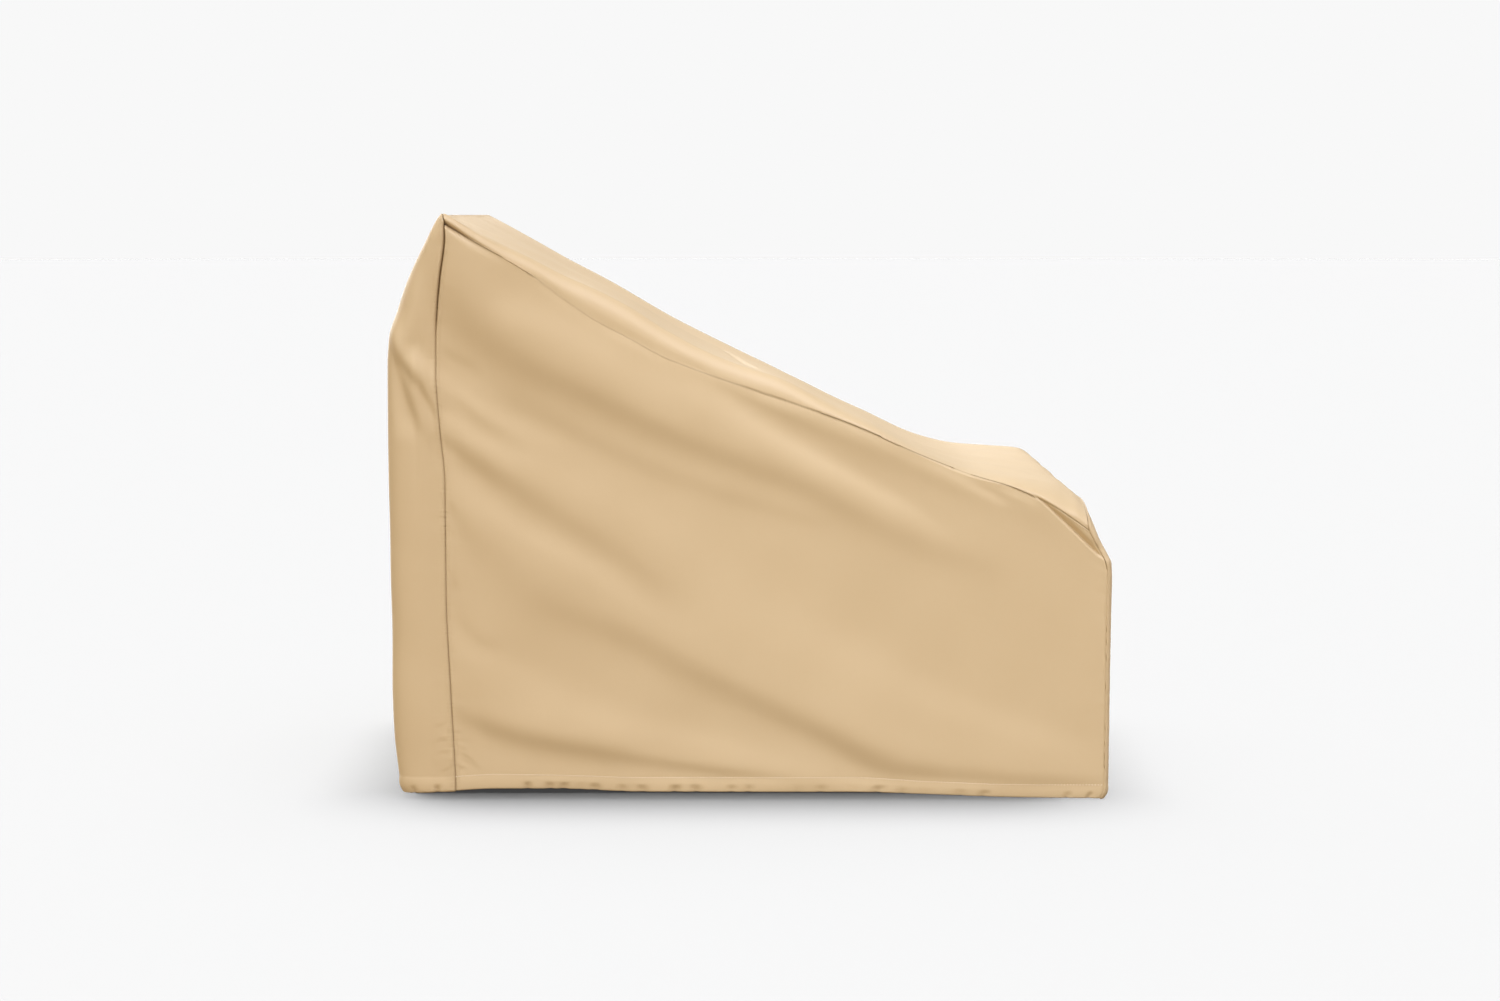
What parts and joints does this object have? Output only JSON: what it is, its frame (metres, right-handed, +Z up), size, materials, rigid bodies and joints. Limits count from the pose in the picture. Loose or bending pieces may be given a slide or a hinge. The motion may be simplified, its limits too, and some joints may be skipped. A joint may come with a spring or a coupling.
{
  "type": "lounge chair cover",
  "caption": "Fitted fabric cover for a deep lounge chair: sloping top, upright back and front, hollow inside and open at the floor, with a hemmed lower edge.",
  "frame": {"origin": "on the floor, under the middle of the cover's bounding box", "axes": "+X from the back to the front, +Y from the near side to the far side, +Z up"},
  "size_m": [0.9638, 0.8708, 0.7749],
  "materials": {
    "cover_cloth": "matte"
  },
  "bodies": {
    "root": {"side_near": "cover_cloth", "side_far": "cover_cloth", "back": "cover_cloth", "front": "cover_cloth", "top": "cover_cloth"}
  },
  "joints": []
}
